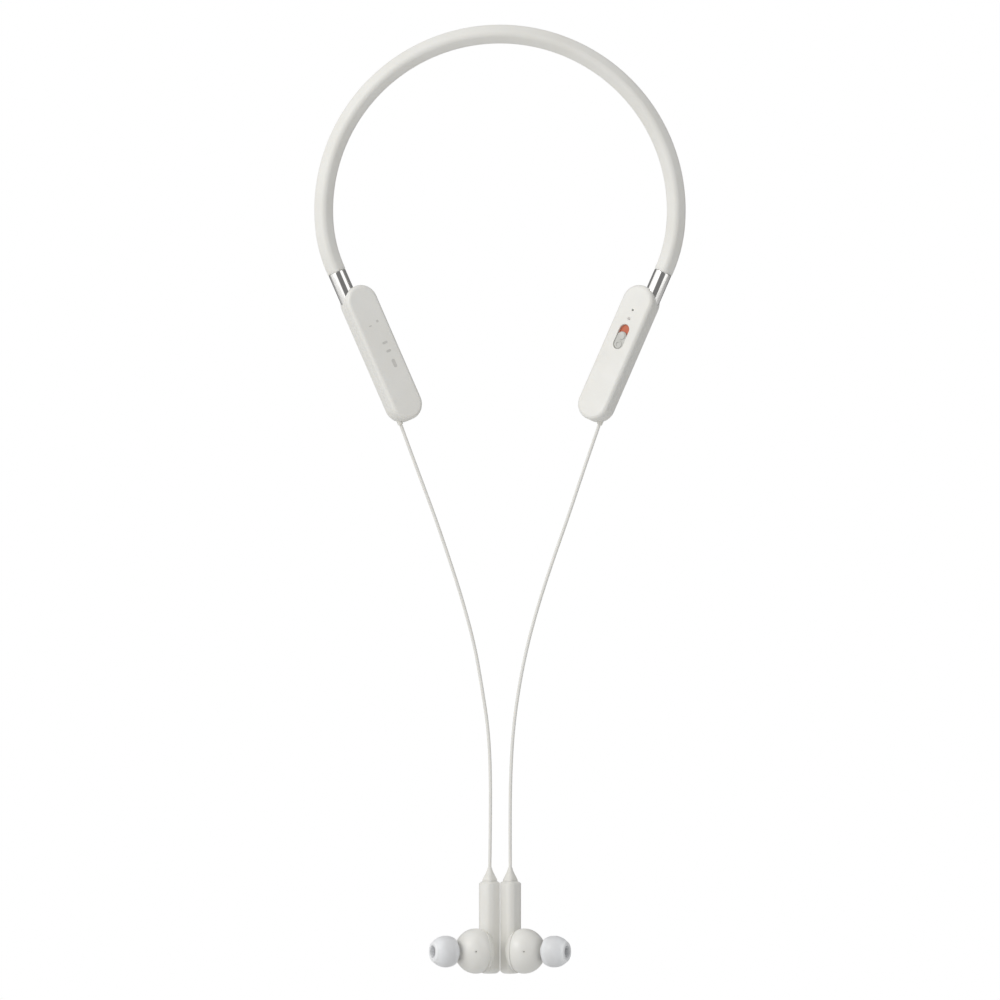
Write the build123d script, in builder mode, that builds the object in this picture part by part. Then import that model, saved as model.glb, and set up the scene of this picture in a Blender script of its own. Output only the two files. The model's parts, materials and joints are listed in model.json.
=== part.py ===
from build123d import *
import os
from math import cos, pi, radians, sin, sqrt, tan

# Neckband earphones. A sprung neckband hangs from its crown. Steel ferrules join it to two pods, and
# a cord from each pod carries an earbud with a pull-off tip. The two buds hang back to back on magnets.
#
# Frame, in millimetres: the origin is the inner side of the neckband's crown, where the neck carries
# it. +Z is up, +X is to the right of someone who faces the skin side of the pods, and +Y points away
# from that person. Pieces are drawn for the +X side, and most have a mirror image on the -X side.

# Neckband
neck_radius = 71.4  # centre line of the crown
crown_drop = 5.0  # degrees below level where the crown's arc ends
end_radius = 56.0  # centre line of the tighter ends
end_tilt = 23.5  # degrees from upright, of the ends, ferrules and pods
sleeve_tail = 1.5  # straight silicone before the ferrule
sleeve_side = 6.55  # square section, standing on its corner
sleeve_corner = 2.0
spring_radius = 0.8
cable_radius = 0.6
cable_offset = 2.0  # towards the neck from the centre line
cable_lead = 1.1  # length past the anchor, over the board
channel_gap = 0.1

# Ferrules
ferrule_radius = 3.65
ferrule_wall = 0.5
ferrule_shown = 8.2
ferrule_seat = 7.0  # depth in the pod, below its top
anchor_foot = 1.2  # length of the anchor past the ferrule
anchor_gap = 0.04
spring_grip = 6.0  # length of spring wire inside the anchor

# Pods, in a frame with x inward, y down along the pod and z out of the skin face
pod_turn = 27.0  # degrees that the skin face is turned inward, about the pod's length
pod_length = 58.5
pod_width = 13.8
pod_thickness = 10.0
skin_edge = 1.5
outer_edge = 3.2
pod_wall = 1.2
parting = 1.0  # seam between the covers, above the pod's mid-plane
seam_bevel = 0.12
rim_bevel = 0.15  # round the openings in the covers
lip_depth = 0.8
lip_wall = 0.6
lip_gap = 0.05
ferrule_side_cover = 0.3  # plastic left beside the ferrule
ferrule_back_cover = 0.5  # plastic left behind the ferrule
seat_gap = 0.03

# Electronics in the right pod
board_thickness = 0.8
board_top = -0.6
board_width = 9.6
board_corner = 1.0
board_start = -20.6
board_end = 22.0
chip_place = 1.5
chip_size = 5.0
chip_height = 0.9
antenna_place = 20.4
antenna_length = 7.0
antenna_width = 2.0
antenna_height = 1.2
post_radius = 0.9
post_inset = 1.0
post_reach = 18.8
usb_place = 12.0
usb_width = 8.94
usb_height = 3.16
usb_depth = 7.3
usb_skin = 0.3
usb_recess = 0.25
usb_gap = 0.15
tongue_width = 6.69
tongue_height = 0.7
tongue_setback = 0.8
tongue_root = 1.2

# Power switch on the right pod's skin face
switch_place = -6.7
switch_travel = 3.0
slot_width = 4.4
knob_length = 7.4
knob_gap = 0.1
knob_recess = 0.4
knob_stem_width = 1.5
knob_stem_length = 1.2
stem_gap = 0.2
mark_thickness = 0.4
mark_margin = 0.9
switch_body_length = 9.0
switch_body_width = 4.4
switch_body_height = 2.9
switch_groove_depth = 1.4
boss_radius = 1.5  # round boss at the knob's upper end, and a ring at its lower end
boss_offset = 1.85
boss_height = 0.35
ring_hole = 0.95
ring_height = 0.25
knob_bevel = 0.12

# Light, microphone, keys
light_place = -14.6
light_radius = 0.5
light_height = 0.4
light_length = 1.6
light_width = 0.8
mic_place = -18.4
mic_hole_radius = 0.4
mic_length = 3.4
mic_width = 2.6
mic_height = 1.0
key_places = {"volume_up": -15.0, "play": -7.0, "volume_down": 1.0}
key_width = 4.4
key_length = 6.4
play_radius = 2.6
key_gap = 0.15
key_stand = 0.45  # height above the outer face
key_edge = 0.27
key_travel = 0.4
flange_width = 0.5
flange_thickness = 0.5
dome_radius = 1.9
dome_height = 0.7
key_stem_radius = 0.8

# Battery in the left pod
battery_length = 36.0
battery_width = 9.6
battery_thickness = 5.6
battery_place = 3.0
battery_board_length = 5.4

# Cords and grommets
cord_radius = 0.65
grommet_radius = 1.1
grommet_across = -3.6
grommet_height = -1.5
grommet_stand = 0.2
grommet_inside = 6.85

# Earbuds
stem_across = 4.15  # from the middle plane to the stem's axis
stem_side = 7.68  # square section, standing on its corner
stem_corner = 2.6
stem_wall = 1.1
stem_top = -338.9
stem_length = 37.8
stem_shoulder_width = 1.2
stem_shoulder_height = 1.9
stem_toe = 2.4
clasp_flat = 0.1  # from the middle plane to the stem's flat
boot_length = 5.2
boot_tip_radius = 0.85
boot_base_side = 5.06
boot_base_corner = 1.4
boot_waist_radius = 1.75
boot_waist_height = 2.5
boot_plug_length = 3.0
boot_plug_radius = 1.9
magnet_radius = 1.95
magnet_length = 12.0
magnet_across = -0.9
magnet_rise = 8.0
ball_across = 9.65
ball_forward = 7.5
ball_rise = 9.4
ball_radius = 9.15
ball_front = 8.8  # from the centre to the front, along the nozzle's axis
ball_back = 7.0
ball_shoulder_radius = 7.32
ball_shoulder_place = 5.28
nozzle_root = 0.3  # width of the fillet-like step at the nozzle's root
ball_step = 0.35  # the back shell stands out by this much at the seam
ball_wall = 1.2
ball_seam = -2.5
ball_flat = 0.05  # depth of the small moulding flat at the ball's back
nozzle_turn = 25.0  # degrees from sideways, towards the skin side
driver_radius = 6.3
driver_gap = 0.1
driver_seat = 1.8
driver_thickness = 2.2
driver_web = 0.7
driver_magnet_radius = 4.4
driver_magnet_length = 2.6
diaphragm_rise = 0.9
diaphragm_wall = 0.2
diaphragm_flat = 0.8  # radius of its flat middle
diaphragm_crest = 2.7  # radius where the dome is drawn through its crest's edge
diaphragm_crest_rise = 0.54
surround_radius = 5.4
throat_radius = 5.2
throat_bend = 4.4
throat_end = 7.2
nozzle_radius = 2.55
nozzle_bore = 1.8
nozzle_end = 16.4
mesh_radius = 2.1
mesh_thickness = 0.3
mesh_depth = 0.4
vent_radius = 0.25
vent_recess_radius = 0.6
vent_recess_place = 8.85
tip_start = 10.1
tip_end = 19.4
tip_rim_radius = 5.5
tip_rim_wall = 0.5
tip_belly_radius = 6.4
tip_belly_place = 13.6
tip_nose_radius = 3.5
tip_nose_round = 0.4
tip_nose_setback = 0.22
tip_crotch = 2.7  # from the nose to where the tube meets the dome
tip_wall = 0.9
tip_gap = 0.05
tip_tube_wall = 0.7
tip_tube_start = 8.75

os.makedirs("parts", exist_ok=True)


def finish(piece, name):
    """Label a finished piece and write it to a file of its own."""
    piece.part.label = name
    export_step(piece.part, f"parts/{name}.step")


def finish_pair(piece, name):
    """Write a piece of the +X side, and its mirror image for the -X side."""
    finish(piece, f"{name}_right")
    with BuildPart() as twin:
        mirror(piece.part, about=Plane.YZ)
    finish(twin, f"{name}_left")


# ---------------------------------------------------------------- places worked out from the sizes

sleeve_half = sleeve_side / sqrt(2) - sleeve_corner * (sqrt(2) - 1)
crown_centre = Vector(0, 0, sleeve_half - neck_radius)
bend_shift = neck_radius - end_radius
drop = radians(crown_drop)
tilt = radians(end_tilt)
turn = radians(pod_turn)
bend_centre = crown_centre + Vector(bend_shift * cos(drop), 0, -bend_shift * sin(drop))

downward = Vector(-sin(tilt), 0, -cos(tilt))
inward = Vector(-cos(tilt), 0, sin(tilt))
skinward = Vector(0, -1, 0)
pod_x = inward * cos(turn) - skinward * sin(turn)
pod_z = inward * sin(turn) + skinward * cos(turn)

sleeve_end = bend_centre + Vector(end_radius * cos(tilt), 0, -end_radius * sin(tilt)) + downward * sleeve_tail
ferrule_plane = Plane(origin=sleeve_end, x_dir=inward, z_dir=downward)
ferrule_length = ferrule_shown + ferrule_seat

pod_half = pod_thickness / 2
ferrule_x = -(pod_width / 2 - ferrule_radius - ferrule_side_cover)
ferrule_z = -(pod_half - ferrule_radius - ferrule_back_cover)
pod_centre = (
    sleeve_end + downward * (ferrule_shown + pod_length / 2) - pod_x * ferrule_x - pod_z * ferrule_z
)
pod = Plane(origin=pod_centre, x_dir=pod_x, z_dir=pod_z)
pod_axis = Axis(pod_centre, pod_z)


def pod_point(x, y, z):
    """A point of the right pod's frame, in the whole object's frame."""
    return pod_centre + pod_x * x + pod.y_dir * y + pod_z * z


def pod_level(x, y, z):
    """A plane level with the right pod's skin face, at a point of the pod's frame."""
    return Plane(origin=pod_point(x, y, z), x_dir=pod_x, z_dir=pod_z)


def band_wire(offset, tail):
    """The neckband's line, moved outward by offset, with straight tails."""
    with BuildLine(Plane.XZ) as line:
        CenterArc((0, crown_centre.Z), neck_radius + offset, -crown_drop, 180 + 2 * crown_drop)
        bend = CenterArc((bend_centre.X, bend_centre.Z), end_radius + offset, -end_tilt, end_tilt - crown_drop)
        Line(bend @ 0, bend @ 0 + downward * tail)
        other = CenterArc(
            (-bend_centre.X, bend_centre.Z), end_radius + offset, 180 + crown_drop, end_tilt - crown_drop
        )
        Line(other @ 1, other @ 1 + Vector(-downward.X, 0, downward.Z) * tail)
    return line.wire()


def start_plane(wire):
    """A plane across the start of a wire in the XZ plane, with its x along +Y."""
    return Plane(origin=wire @ 0, x_dir=(0, 1, 0), z_dir=wire % 0)


# ---------------------------------------------------------------- neckband

band_line = band_wire(0, sleeve_tail)
band_start = start_plane(band_line)
cable_side = -cable_offset if band_start.y_dir.dot(Vector(band_start.origin)) > 0 else cable_offset
with BuildPart() as band_sleeve:
    with BuildSketch(band_start):
        RectangleRounded(sleeve_side, sleeve_side, sleeve_corner, rotation=45)
        Circle(spring_radius + channel_gap, mode=Mode.SUBTRACT)
        with Locations((0, cable_side)):
            Circle(cable_radius + channel_gap, mode=Mode.SUBTRACT)
    sweep(path=band_line)
finish(band_sleeve, "band_sleeve")

spring_line = band_wire(0, sleeve_tail + spring_grip)
with BuildPart() as band_spring:
    with BuildSketch(start_plane(spring_line)):
        Circle(spring_radius)
    sweep(path=spring_line)
finish(band_spring, "band_spring")

cable_line = band_wire(-cable_offset, sleeve_tail + ferrule_length + anchor_foot + cable_lead)
with BuildPart() as band_cable:
    with BuildSketch(start_plane(cable_line)):
        Circle(cable_radius)
    sweep(path=cable_line)
finish(band_cable, "band_cable")

# ---------------------------------------------------------------- ferrules and the anchors inside them

with BuildPart() as ferrule:
    with BuildSketch(ferrule_plane):
        Circle(ferrule_radius)
        Circle(ferrule_radius - ferrule_wall, mode=Mode.SUBTRACT)
    extrude(amount=ferrule_length)
finish_pair(ferrule, "ferrule")

with BuildPart() as anchor:
    with BuildSketch(ferrule_plane):
        Circle(ferrule_radius - ferrule_wall - anchor_gap)
        with Locations((cable_offset, 0)):
            Circle(cable_radius + channel_gap, mode=Mode.SUBTRACT)
    extrude(amount=ferrule_length + anchor_foot)
    with BuildSketch(ferrule_plane):
        Circle(spring_radius + channel_gap)
    extrude(amount=spring_grip + channel_gap, mode=Mode.SUBTRACT)
finish_pair(anchor, "band_anchor")

# ---------------------------------------------------------------- pod covers

cavity_length = pod_length - 2 * pod_wall
cavity_width = pod_width - 2 * pod_wall
lip_inner_length = cavity_length - 2 * (lip_gap + lip_wall)
lip_inner_width = cavity_width - 2 * (lip_gap + lip_wall)
bore_radius = ferrule_radius + seat_gap
floor = -(pod_half - pod_wall)
ceiling = pod_half - pod_wall

with BuildPart() as plain_skin_cover:
    with BuildSketch(pod.offset(parting)):
        SlotOverall(pod_length, pod_width, rotation=90)
    extrude(amount=pod_half - parting)
    fillet(faces().sort_by(pod_axis)[-1].edges(), skin_edge)
    chamfer(faces().sort_by(pod_axis)[0].edges(), seam_bevel)
    with BuildSketch(pod.offset(parting)):
        SlotOverall(cavity_length, cavity_width, rotation=90)
    extrude(amount=ceiling - parting, mode=Mode.SUBTRACT)
    with BuildSketch(pod.offset(parting)):
        SlotOverall(cavity_length, cavity_width, rotation=90)
        SlotOverall(lip_inner_length, lip_inner_width, rotation=90, mode=Mode.SUBTRACT)
    extrude(amount=lip_depth)
    with BuildSketch(pod.offset(parting)):
        SlotOverall(cavity_length - 2 * lip_gap, cavity_width - 2 * lip_gap, rotation=90)
        SlotOverall(lip_inner_length, lip_inner_width, rotation=90, mode=Mode.SUBTRACT)
    extrude(amount=-lip_depth)
    with BuildSketch(ferrule_plane):
        Circle(bore_radius)
    extrude(amount=ferrule_length + anchor_foot, mode=Mode.SUBTRACT)

with BuildPart() as plain_outer_cover:
    with BuildSketch(pod.offset(-pod_half)):
        SlotOverall(pod_length, pod_width, rotation=90)
    extrude(amount=pod_half + parting)
    fillet(faces().sort_by(pod_axis)[0].edges(), outer_edge)
    chamfer(faces().sort_by(pod_axis)[-1].edges(), seam_bevel)
    with BuildSketch(pod.offset(floor)):
        SlotOverall(cavity_length, cavity_width, rotation=90)
    extrude(amount=parting - floor, mode=Mode.SUBTRACT)
    with BuildSketch(ferrule_plane):
        Circle(bore_radius)
    extrude(amount=ferrule_length + anchor_foot, mode=Mode.SUBTRACT)
    with BuildSketch(Plane(origin=pod_point(grommet_across, 0, grommet_height), x_dir=pod_x, z_dir=pod.y_dir)):
        Circle(grommet_radius)
    extrude(amount=pod_length, mode=Mode.SUBTRACT)

slot_length = knob_length + switch_travel + 2 * knob_gap
usb_clear_width = usb_width + 2 * usb_gap
usb_clear_height = usb_height + 2 * usb_gap
stem_slot_length = knob_stem_length + switch_travel + 2 * knob_gap
stem_slot_width = knob_stem_width + 2 * stem_gap
board_mid = board_top - board_thickness / 2
usb_level = pod_point(0, usb_place, board_mid)
usb_plane = Plane(origin=usb_level, x_dir=pod.y_dir, z_dir=pod_x)

with BuildPart() as skin_cover_right:
    add(plain_skin_cover.part)
    with BuildSketch(pod_level(0, switch_place, 0)):
        SlotOverall(slot_length, slot_width, rotation=90)
    extrude(amount=pod_half, mode=Mode.SUBTRACT)
    with BuildSketch(pod_level(0, light_place, 0)):
        Circle(light_radius + seat_gap)
    extrude(amount=pod_half, mode=Mode.SUBTRACT)
    with BuildSketch(pod_level(0, mic_place, 0)):
        Circle(mic_hole_radius)
    extrude(amount=pod_half, mode=Mode.SUBTRACT)
    skin_face = faces().sort_by(pod_axis)[-1]
    chamfer([edge for wire in skin_face.inner_wires() for edge in wire.edges()], rim_bevel)
    with BuildSketch(usb_plane):
        Rectangle(usb_clear_width, usb_clear_height)
    extrude(amount=pod_width / 2, mode=Mode.SUBTRACT)
finish(skin_cover_right, "skin_cover_right")

with BuildPart() as skin_cover_left:
    mirror(plain_skin_cover.part, about=Plane.YZ)
finish(skin_cover_left, "skin_cover_left")

with BuildPart() as outer_cover_right:
    add(plain_outer_cover.part)
    with BuildSketch(usb_plane):
        SlotOverall(usb_clear_width, usb_clear_height)
    extrude(amount=pod_width, mode=Mode.SUBTRACT)
    for name, place in key_places.items():
        with BuildSketch(pod_level(0, place, -pod_half)):
            if name == "play":
                Circle(play_radius + key_gap)
            else:
                SlotOverall(key_length + 2 * key_gap, key_width + 2 * key_gap, rotation=90)
        extrude(amount=pod_wall, mode=Mode.SUBTRACT)
    with BuildSketch(pod.offset(floor)):
        with GridLocations(board_width - 2 * post_inset, 2 * post_reach, 2, 2):
            Circle(post_radius)
    extrude(amount=board_top - board_thickness - floor)
finish(outer_cover_right, "outer_cover_right")

with BuildPart() as outer_cover_left:
    mirror(plain_outer_cover.part, about=Plane.YZ)
finish(outer_cover_left, "outer_cover_left")

# ---------------------------------------------------------------- main board and what is soldered to it

board_length = board_end - board_start
board_centre = (board_start + board_end) / 2
usb_back = pod_width / 2 - usb_recess - usb_depth

with BuildPart() as main_board:
    with BuildSketch(pod_level(0, board_centre, board_top - board_thickness)):
        RectangleRounded(board_width, board_length, board_corner)
    extrude(amount=board_thickness)
    with BuildSketch(pod_level(usb_back - usb_gap, usb_place, board_top - board_thickness)):
        Rectangle(board_width, usb_clear_width, align=(Align.MIN, Align.CENTER))
    extrude(amount=board_thickness, mode=Mode.SUBTRACT)
finish(main_board, "main_board")

usb_start = Plane(origin=pod_point(usb_back, usb_place, board_mid), x_dir=pod.y_dir, z_dir=pod_x)
with BuildPart() as usb_c_shell:
    with BuildSketch(usb_start):
        SlotOverall(usb_width, usb_height)
        SlotOverall(usb_width - 2 * usb_skin, usb_height - 2 * usb_skin, mode=Mode.SUBTRACT)
    extrude(amount=usb_depth)
finish(usb_c_shell, "usb_c_shell")

with BuildPart() as usb_c_tongue:
    with BuildSketch(usb_start):
        SlotOverall(usb_width - 2 * usb_skin, usb_height - 2 * usb_skin)
    extrude(amount=tongue_root)
    with BuildSketch(usb_start):
        Rectangle(tongue_width, tongue_height)
    extrude(amount=usb_depth - tongue_setback)
finish(usb_c_tongue, "usb_c_tongue")

with BuildPart() as bluetooth_chip:
    with BuildSketch(pod_level(0, chip_place, board_top)):
        Rectangle(chip_size, chip_size)
    extrude(amount=chip_height)
finish(bluetooth_chip, "bluetooth_chip")

with BuildPart() as antenna:
    with BuildSketch(pod_level(0, antenna_place, board_top)):
        Rectangle(antenna_length, antenna_width)
    extrude(amount=antenna_height)
finish(antenna, "antenna")

with BuildPart() as power_switch_body:
    with BuildSketch(pod_level(0, switch_place, board_top)):
        Rectangle(switch_body_width, switch_body_length)
    extrude(amount=switch_body_height)
    with BuildSketch(pod_level(0, switch_place, board_top + switch_body_height - switch_groove_depth)):
        Rectangle(stem_slot_width, stem_slot_length)
    extrude(amount=switch_groove_depth, mode=Mode.SUBTRACT)
finish(power_switch_body, "power_switch_body")

with BuildPart() as status_light:
    with BuildSketch(pod_level(0, light_place, board_top)):
        Rectangle(light_length, light_width)
    extrude(amount=light_height)
finish(status_light, "status_light")

with BuildPart() as light_pipe:
    with BuildSketch(pod_level(0, light_place, board_top + light_height)):
        Circle(light_radius)
    extrude(amount=pod_half - board_top - light_height)
    with BuildSketch(pod_level(0, light_place, ceiling - flange_thickness)):
        Circle(light_radius + flange_width)
    extrude(amount=flange_thickness)
finish(light_pipe, "light_pipe")

with BuildPart() as microphone:
    with BuildSketch(pod_level(0, mic_place, board_top)):
        Rectangle(mic_length, mic_width)
    extrude(amount=mic_height)
finish(microphone, "microphone")

with BuildPart() as microphone_gasket:
    with BuildSketch(pod_level(0, mic_place, board_top + mic_height)):
        Circle(mic_width / 2)
        Circle(mic_hole_radius + key_gap, mode=Mode.SUBTRACT)
    extrude(amount=ceiling - board_top - mic_height)
finish(microphone_gasket, "microphone_gasket")

board_under = board_top - board_thickness
with BuildPart() as key_switches:
    for place in key_places.values():
        with BuildSketch(pod_level(0, place, board_under - dome_height)):
            Circle(dome_radius)
        extrude(amount=dome_height)
finish(key_switches, "key_switches")

# ---------------------------------------------------------------- power switch knob and its red mark

mark_level = ceiling - mark_thickness
with BuildPart() as power_switch_mark:
    with BuildSketch(pod_level(0, switch_place, mark_level)):
        SlotOverall(slot_length + 2 * mark_margin, slot_width + 2 * mark_margin, rotation=90)
        Rectangle(stem_slot_width, stem_slot_length, mode=Mode.SUBTRACT)
    extrude(amount=mark_thickness)
finish(power_switch_mark, "power_switch_mark")

knob_place = switch_place + switch_travel / 2
knob_base = ceiling + knob_gap
knob_top = pod_half - knob_recess
knob_foot = board_top + switch_body_height - switch_groove_depth + stem_gap
with BuildPart() as power_switch_knob:
    with BuildSketch(pod_level(0, knob_place, knob_base)):
        SlotOverall(knob_length, slot_width - 2 * knob_gap, rotation=90)
    extrude(amount=knob_top - knob_base)
    chamfer(faces().sort_by(pod_axis)[-1].edges(), knob_bevel)
    with BuildSketch(pod_level(0, knob_place - boss_offset, knob_top)):
        Circle(boss_radius)
    extrude(amount=boss_height)
    chamfer(faces().sort_by(pod_axis)[-1].edges(), knob_bevel)
    with BuildSketch(pod_level(0, knob_place + boss_offset, knob_top)):
        Circle(boss_radius)
        Circle(ring_hole, mode=Mode.SUBTRACT)
    extrude(amount=ring_height)
    with BuildSketch(pod_level(0, knob_place, knob_foot)):
        Rectangle(knob_stem_width, knob_stem_length)
    extrude(amount=knob_base - knob_foot)
finish(power_switch_knob, "power_switch_knob")

# ---------------------------------------------------------------- keys on the outer face

stem_reach = board_under - dome_height - key_travel - lip_gap
for name, place in key_places.items():
    with BuildPart() as key:
        with BuildSketch(pod_level(0, place, -pod_half - key_stand)):
            if name == "play":
                Circle(play_radius)
            else:
                SlotOverall(key_length, key_width, rotation=90)
        extrude(amount=key_stand + pod_wall)
        fillet(faces().sort_by(pod_axis)[0].edges(), key_edge)
        with BuildSketch(pod_level(0, place, floor)):
            if name == "play":
                Circle(play_radius + flange_width)
            else:
                SlotOverall(key_length + 2 * flange_width, key_width + 2 * flange_width, rotation=90)
        extrude(amount=flange_thickness)
        with BuildSketch(pod_level(0, place, floor)):
            Circle(key_stem_radius)
        extrude(amount=stem_reach - floor)
    finish(key, f"{name}_key")

# ---------------------------------------------------------------- battery, in the left pod

with BuildPart() as battery_drawn:
    with BuildSketch(pod_level(0, battery_place, floor + seat_gap)):
        RectangleRounded(battery_width, battery_length, board_corner)
    extrude(amount=battery_thickness)
with BuildPart() as battery:
    mirror(battery_drawn.part, about=Plane.YZ)
finish(battery, "battery")

battery_top_end = battery_place - battery_length / 2
with BuildPart() as battery_board_drawn:
    with BuildSketch(pod_level(0, battery_top_end - battery_board_length / 2, board_under)):
        Rectangle(battery_width, battery_board_length)
    extrude(amount=board_thickness)
with BuildPart() as battery_board:
    mirror(battery_board_drawn.part, about=Plane.YZ)
finish(battery_board, "battery_board")

# ---------------------------------------------------------------- grommets and cords

grommet_end = pod_length / 2 + grommet_stand
grommet_start = grommet_end - grommet_stand - grommet_inside
grommet_plane = Plane(
    origin=pod_point(grommet_across, grommet_start, grommet_height), x_dir=pod_x, z_dir=pod.y_dir
)
with BuildPart() as grommet:
    with BuildSketch(grommet_plane):
        Circle(grommet_radius)
    extrude(amount=grommet_end - grommet_start)
    with BuildSketch(grommet_plane):
        Circle(grommet_radius + flange_width - seat_gap)
    extrude(amount=flange_thickness)
finish_pair(grommet, "cord_grommet")

cord_exit = pod_point(grommet_across, grommet_end, grommet_height)
boot_top = stem_top + boot_length
routes = {
    "right": [
        (33.9, 0.9, -172.6),
        (27.7, 1.4, -191.5),
        (21.2, 1.6, -209.8),
        (15.0, 1.5, -229.0),
        (10.4, 1.2, -246.5),
        (7.2, 0.8, -263.5),
        (5.2, 0.5, -279.5),
        (4.3, 0.2, -296.0),
        (4.05, 0.05, -315.0),
    ],
    "left": [
        (-33.6, 0.7, -172.4),
        (-26.9, 1.0, -190.2),
        (-20.8, 1.1, -208.0),
        (-14.9, 1.3, -226.4),
        (-10.1, 1.1, -244.6),
        (-7.3, 0.6, -261.0),
        (-4.9, 0.3, -276.4),
        (-3.9, 0.2, -292.5),
        (-3.85, 0.1, -314.0),
    ],
}
for side, sign in (("right", 1), ("left", -1)):
    points = [
        Vector(sign * cord_exit.X, cord_exit.Y, cord_exit.Z),
        *[Vector(*point) for point in routes[side]],
        Vector(sign * stem_across, 0, boot_top),
    ]
    runs = [second - first for first, second in zip(points, points[1:])]
    radii = [
        0.45 * min(before.length, after.length) / tan(radians(before.get_angle(after)) / 2)
        for before, after in zip(runs, runs[1:])
    ]
    with BuildPart() as cord:
        with BuildLine() as route:
            FilletPolyline(*points, radius=radii)
        with BuildSketch(Plane(origin=points[0], z_dir=runs[0])):
            Circle(cord_radius)
        sweep(path=route.wire())
    finish(cord, f"cord_{side}")
    length = route.wire().length
    print(f"cord_{side}: smallest radius {min(radii):.1f}, length {length:.1f}")
    print(f"  volume {cord.part.volume:.2f}, section x length {pi * cord_radius**2 * length:.2f}")

# ---------------------------------------------------------------- earbud bodies

stem_bottom = stem_top - stem_length
ball_centre = Vector(ball_across, -ball_forward, stem_bottom + ball_rise)
aim = radians(nozzle_turn)
nozzle_dir = Vector(cos(aim), -sin(aim), 0)
nozzle_axis = Axis(ball_centre, nozzle_dir)
bud_section = Plane(origin=ball_centre, x_dir=(0, 0, 1), z_dir=(sin(aim), cos(aim), 0))


def bud_plane(place):
    """A plane across the nozzle's axis, at a distance from the ball's centre."""
    return Plane(origin=ball_centre + nozzle_dir * place, x_dir=(0, 0, 1), z_dir=nozzle_dir)


stem_plane = Plane(origin=(stem_across, 0, stem_bottom), x_dir=(1, 0, 0), z_dir=(0, 0, 1))
inner_radius = ball_radius - ball_wall
inner_depth = ball_back - ball_wall
corner = (Align.MIN, Align.MIN)

with BuildPart() as bud_body:
    with BuildSketch(stem_plane):
        RectangleRounded(stem_side, stem_side, stem_corner, rotation=45)
    extrude(amount=stem_length)
    fillet(faces().sort_by(Axis.Z)[0].edges(), stem_toe)
    chamfer(faces().sort_by(Axis.Z)[-1].edges(), stem_shoulder_height, stem_shoulder_width, reference=faces().sort_by(Axis.Z)[-1])
    with BuildSketch(bud_section):
        Ellipse(ball_radius + ball_step, ball_back)
        with Locations((0, -ball_back + ball_flat)):
            Rectangle(2 * ball_radius, ball_back + ball_seam - ball_flat, align=corner, mode=Mode.INTERSECT)
    revolve(axis=nozzle_axis)
    with BuildSketch(bud_section):
        Ellipse(inner_radius, inner_depth)
        with Locations((0, -inner_depth + ball_flat)):
            Rectangle(ball_radius, inner_depth - ball_flat, align=corner, mode=Mode.INTERSECT)
    revolve(axis=nozzle_axis, mode=Mode.SUBTRACT)
    with BuildSketch(stem_plane.offset(stem_wall + stem_toe / 2)):
        RectangleRounded(stem_side - 2 * stem_wall, stem_side - 2 * stem_wall, stem_corner - stem_wall, rotation=45)
    extrude(amount=stem_length - 2 * stem_wall - stem_toe / 2 - stem_shoulder_height, mode=Mode.SUBTRACT)
    with BuildSketch(stem_plane.offset(stem_length / 2)):
        Circle(boot_plug_radius)
    extrude(amount=stem_length / 2, mode=Mode.SUBTRACT)
    with BuildSketch(Plane(origin=(clasp_flat, 0, stem_bottom), x_dir=(0, 1, 0), z_dir=(-1, 0, 0))):
        Rectangle(2 * stem_side, 3 * stem_length)
    extrude(amount=stem_side, mode=Mode.SUBTRACT)
finish_pair(bud_body, "bud_body")

boot_plane = Plane(origin=(stem_across, 0, stem_top), x_dir=(1, 0, 0), z_dir=(0, 0, 1))
with BuildPart() as boot:
    with BuildSketch(boot_plane):
        RectangleRounded(boot_base_side, boot_base_side, boot_base_corner, rotation=45)
    with BuildSketch(boot_plane.offset(boot_waist_height)):
        Circle(boot_waist_radius)
    with BuildSketch(boot_plane.offset(boot_length)):
        Circle(boot_tip_radius)
    loft()
    with BuildSketch(boot_plane.offset(-boot_plug_length)):
        Circle(boot_plug_radius - lip_gap)
    extrude(amount=boot_plug_length)
finish_pair(boot, "cord_boot")

with BuildPart() as clasp_magnet:
    with BuildSketch(Plane.XY.offset(stem_bottom + magnet_rise)):
        with Locations((stem_across + magnet_across, 0)):
            Circle(magnet_radius)
    extrude(amount=magnet_length)
finish_pair(clasp_magnet, "clasp_magnet")

# ---------------------------------------------------------------- earbud fronts, drivers and meshes

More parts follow.
